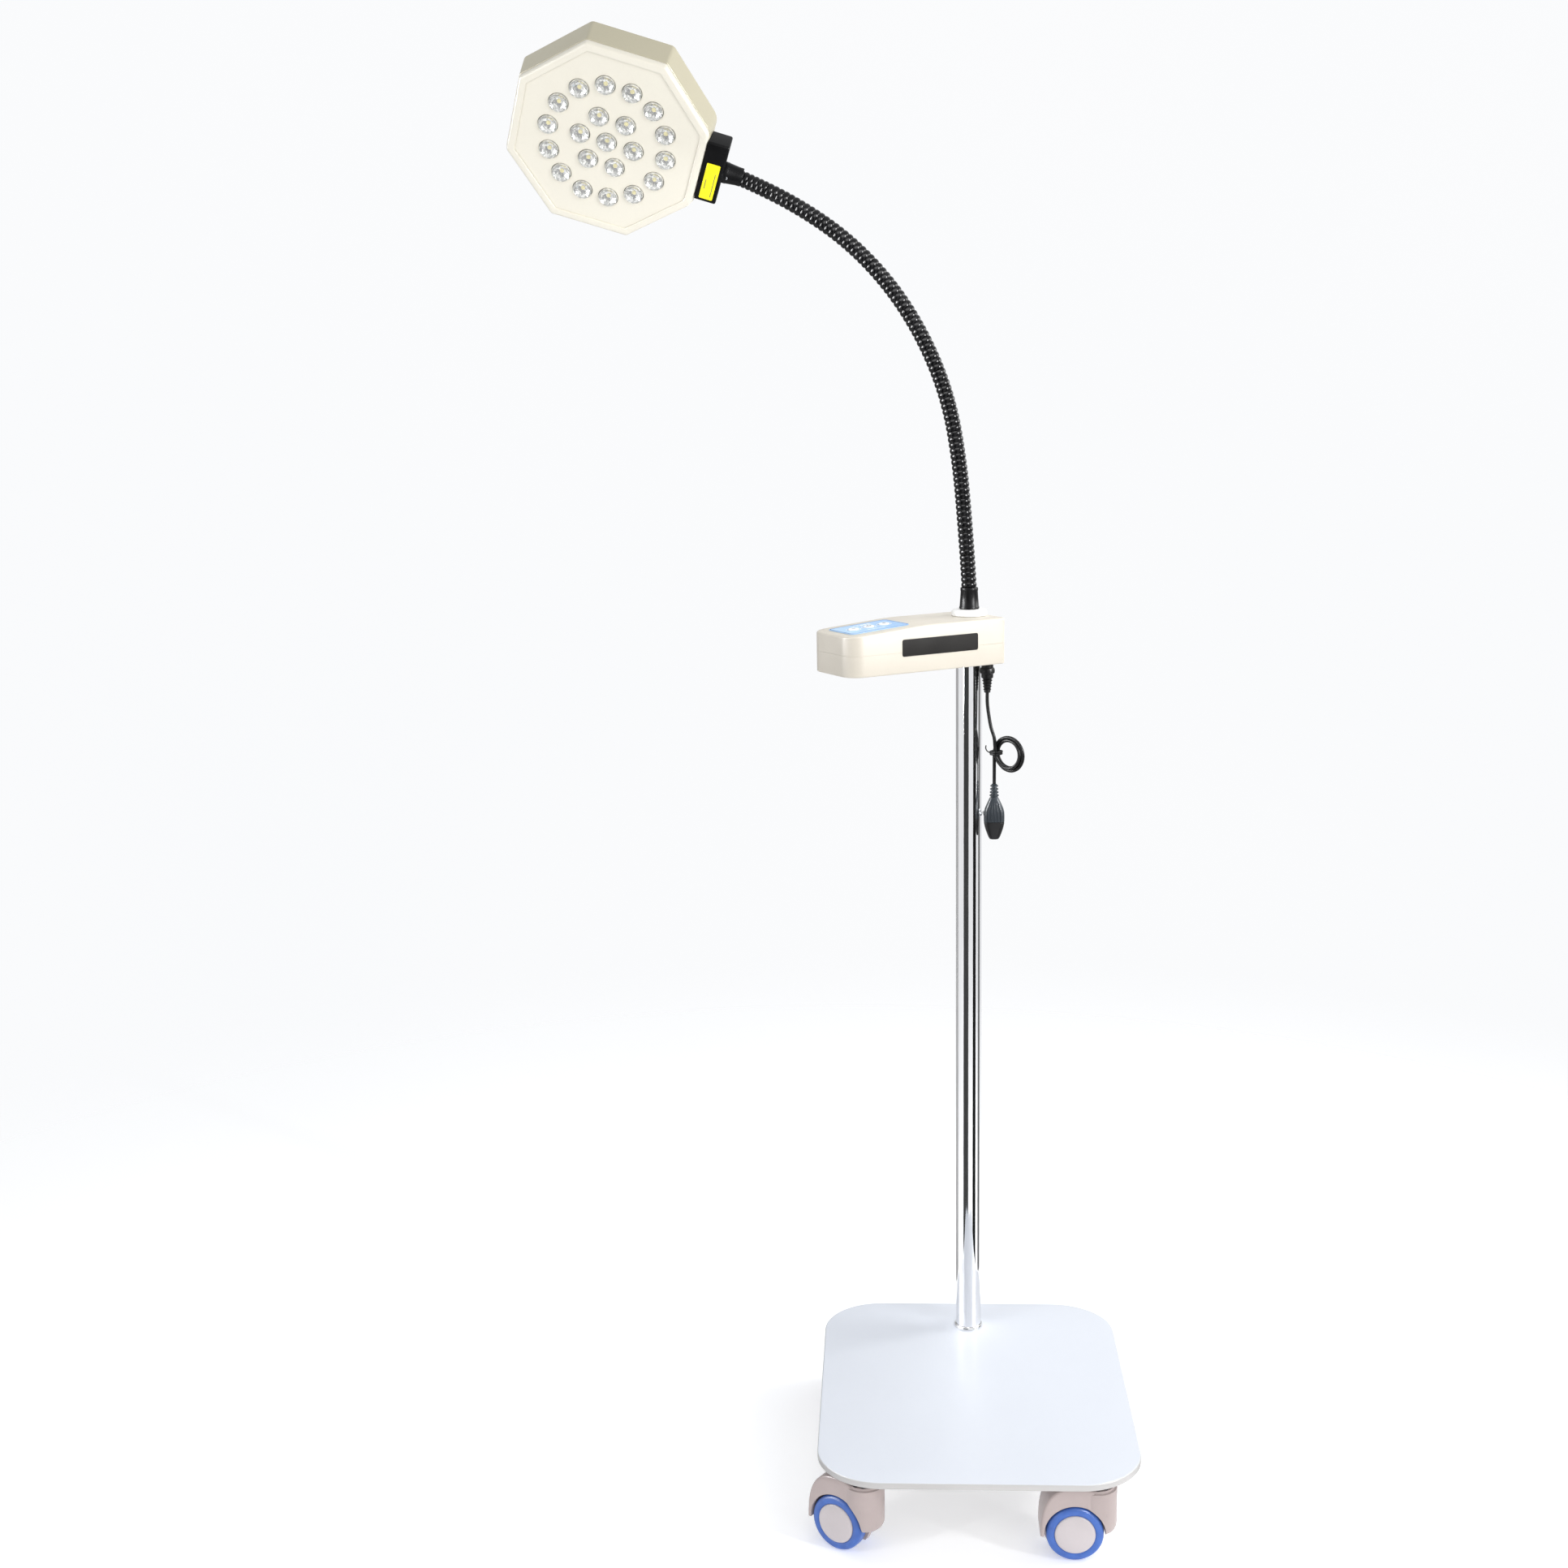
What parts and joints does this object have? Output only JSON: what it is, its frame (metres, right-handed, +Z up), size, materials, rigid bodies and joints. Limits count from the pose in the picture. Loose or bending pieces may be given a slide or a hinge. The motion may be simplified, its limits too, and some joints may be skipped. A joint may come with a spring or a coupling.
{
  "type": "mobile surgical light",
  "caption": "Mobile surgical light with an octagonal LED head on a jointed gooseneck, a keypad control box on a steel pole and a flat base on twin-wheel casters.",
  "frame": {"origin": "on the floor, under the middle of the whole light's bounding box", "axes": "+Z up; +X to the right, from the lamp head towards the pole; +Y to the rear, from the base's front edge towards the pole"},
  "size_m": [0.7202, 0.4686, 1.6979],
  "materials": {
    "plate": "satin powder coat",
    "steel": "polished",
    "zinc": "satin",
    "hood": "satin",
    "tyre": "matte blue tread around a pale hub cap",
    "ivory": "satin moulded",
    "white": "satin",
    "keypad": "satin film",
    "key": "satin",
    "circuit": "matte",
    "grey": "matte",
    "black": "gloss",
    "rubber": "satin",
    "label": "satin film",
    "lens": "clear polished",
    "aluminium": "satin"
  },
  "bodies": {
    "stand": {"base_plate": "plate", "pole_tube": "steel", "pole_foot_ring": "steel", "pole_foot_insert": "zinc", "pole_washer": "zinc", "pole_bolt": "zinc", "caster_stem_front_right": "zinc", "caster_stem_front_left": "zinc", "caster_stem_rear_right": "zinc", "caster_stem_rear_left": "zinc", "box_lower_shell": "ivory", "box_upper_shell": "ivory", "keypad_overlay": "keypad", "control_board": "circuit", "pole_clamp": "aluminium", "power_supply": "grey", "neck_socket": "steel", "neck_nut": "zinc", "neck_cap": "white", "cord_gland": "rubber", "cord_lead": "rubber", "cord_coil": "rubber", "cord_tie": "rubber", "cord_tail": "rubber", "mains_plug": "rubber", "neck_collar": "black"},
    "swivel_front_right": {"caster_hood_front_right": "hood"},
    "wheel_front_right_outer": {"wheel_front_right_outer": "tyre"},
    "wheel_front_right_inner": {"wheel_front_right_inner": "tyre"},
    "swivel_front_left": {"caster_hood_front_left": "hood"},
    "wheel_front_left_outer": {"wheel_front_left_outer": "tyre"},
    "wheel_front_left_inner": {"wheel_front_left_inner": "tyre"},
    "swivel_rear_right": {"caster_hood_rear_right": "hood"},
    "wheel_rear_right_outer": {"wheel_rear_right_outer": "tyre"},
    "wheel_rear_right_inner": {"wheel_rear_right_inner": "tyre"},
    "swivel_rear_left": {"caster_hood_rear_left": "hood"},
    "wheel_rear_left_outer": {"wheel_rear_left_outer": "tyre"},
    "wheel_rear_left_inner": {"wheel_rear_left_inner": "tyre"},
    "key_dimmer": {"key_dimmer": "key"},
    "key_power": {"key_power": "key"},
    "key_brighter": {"key_brighter": "key"},
    "neck_1": {"neck_link_1": "black"},
    "neck_2": {"neck_link_2": "black"},
    "neck_3": {"neck_link_3": "black"},
    "neck_4": {"neck_link_4": "black"},
    "neck_5": {"neck_link_5": "black"},
    "neck_6": {"neck_link_6": "black"},
    "neck_7": {"neck_link_7": "black"},
    "neck_8": {"neck_link_8": "black"},
    "head": {"head_bezel": "ivory", "head_rear_housing": "ivory", "front_panel": "ivory", "lens_plate": "lens", "led_board": "circuit", "heat_sink": "aluminium", "led_driver": "grey", "head_bracket": "black", "bracket_set_screw": "zinc", "warning_label": "label"}
  },
  "joints": [
    {"name": "swivel_front_right", "type": "hinge", "parent": "stand", "child": "swivel_front_right", "pos_m": [0.30609, -0.2043, 0.07], "axis": [0, 0, 1], "continuous": true},
    {"name": "roll_front_right_outer", "type": "hinge", "parent": "swivel_front_right", "child": "wheel_front_right_outer", "pos_m": [0.28109, -0.2043, 0.03222], "axis": [0, 1, 0], "continuous": true},
    {"name": "roll_front_right_inner", "type": "hinge", "parent": "swivel_front_right", "child": "wheel_front_right_inner", "pos_m": [0.28109, -0.2043, 0.03222], "axis": [0, 1, 0], "continuous": true},
    {"name": "swivel_front_left", "type": "hinge", "parent": "stand", "child": "swivel_front_left", "pos_m": [0.04609, -0.2043, 0.07], "axis": [0, 0, 1], "continuous": true},
    {"name": "roll_front_left_outer", "type": "hinge", "parent": "swivel_front_left", "child": "wheel_front_left_outer", "pos_m": [0.02512, -0.19068, 0.03222], "axis": [0.5446, 0.8387, 0], "continuous": true},
    {"name": "roll_front_left_inner", "type": "hinge", "parent": "swivel_front_left", "child": "wheel_front_left_inner", "pos_m": [0.02512, -0.19068, 0.03222], "axis": [0.5446, 0.8387, 0], "continuous": true},
    {"name": "swivel_rear_right", "type": "hinge", "parent": "stand", "child": "swivel_rear_right", "pos_m": [0.30609, 0.1857, 0.07], "axis": [0, 0, 1], "continuous": true},
    {"name": "roll_rear_right_outer", "type": "hinge", "parent": "swivel_rear_right", "child": "wheel_rear_right_outer", "pos_m": [0.28325, 0.17553, 0.03222], "axis": [-0.4067, 0.9135, 0], "continuous": true},
    {"name": "roll_rear_right_inner", "type": "hinge", "parent": "swivel_rear_right", "child": "wheel_rear_right_inner", "pos_m": [0.28325, 0.17553, 0.03222], "axis": [-0.4067, 0.9135, 0], "continuous": true},
    {"name": "swivel_rear_left", "type": "hinge", "parent": "stand", "child": "swivel_rear_left", "pos_m": [0.04609, 0.1857, 0.07], "axis": [0, 0, 1], "continuous": true},
    {"name": "roll_rear_left_outer", "type": "hinge", "parent": "swivel_rear_left", "child": "wheel_rear_left_outer", "pos_m": [0.07034, 0.17965, 0.03222], "axis": [-0.2419, -0.9703, 0], "continuous": true},
    {"name": "roll_rear_left_inner", "type": "hinge", "parent": "swivel_rear_left", "child": "wheel_rear_left_inner", "pos_m": [0.07034, 0.17965, 0.03222], "axis": [-0.2419, -0.9703, 0], "continuous": true},
    {"name": "key_dimmer_press", "type": "slide", "parent": "stand", "child": "key_dimmer", "axis": [0.0641, 0.0408, -0.9971], "range_m": [0, 0.0006], "stiffness_N_per_m": 1500},
    {"name": "key_power_press", "type": "slide", "parent": "stand", "child": "key_power", "axis": [0.0641, 0.0408, -0.9971], "range_m": [0, 0.0006], "stiffness_N_per_m": 1500},
    {"name": "key_brighter_press", "type": "slide", "parent": "stand", "child": "key_brighter", "axis": [0.0641, 0.0408, -0.9971], "range_m": [0, 0.0006], "stiffness_N_per_m": 1500},
    {"name": "neck_side_1", "type": "hinge", "parent": "stand", "child": "neck_1", "pos_m": [0.17609, 0.1532, 1.053], "axis": [0.9994, 0, 0.0349], "range_deg": [-18, 18]},
    {"name": "neck_bend_1", "type": "hinge", "parent": "neck_1", "child": "neck_2", "pos_m": [0.17095, 0.1532, 1.12642], "axis": [0, 1, 0], "range_deg": [-20, 20]},
    {"name": "neck_side_2", "type": "hinge", "parent": "neck_2", "child": "neck_3", "pos_m": [0.16454, 0.1532, 1.19974], "axis": [0.9914, 0, 0.1305], "range_deg": [-18, 18]},
    {"name": "neck_bend_2", "type": "hinge", "parent": "neck_3", "child": "neck_4", "pos_m": [0.15176, 0.1532, 1.27222], "axis": [0, 1, 0], "range_deg": [-20, 20]},
    {"name": "neck_side_3", "type": "hinge", "parent": "neck_4", "child": "neck_5", "pos_m": [0.12478, 0.1532, 1.3407], "axis": [0.893, 0, 0.4501], "range_deg": [-18, 18]},
    {"name": "neck_bend_3", "type": "hinge", "parent": "neck_5", "child": "neck_6", "pos_m": [0.08578, 0.1532, 1.40312], "axis": [0, 1, 0], "range_deg": [-20, 20]},
    {"name": "neck_side_4", "type": "hinge", "parent": "neck_6", "child": "neck_7", "pos_m": [0.03512, 0.1532, 1.4565], "axis": [0.6494, 0, 0.7604], "range_deg": [-18, 18]},
    {"name": "neck_bend_4", "type": "hinge", "parent": "neck_7", "child": "neck_8", "pos_m": [-0.02554, 0.1532, 1.49819], "axis": [0, 1, 0], "range_deg": [-20, 20]},
    {"name": "neck_side_5", "type": "hinge", "parent": "neck_8", "child": "head", "pos_m": [-0.09169, 0.1532, 1.53046], "axis": [0.367, 0, 0.9302], "range_deg": [-18, 18]}
  ]
}
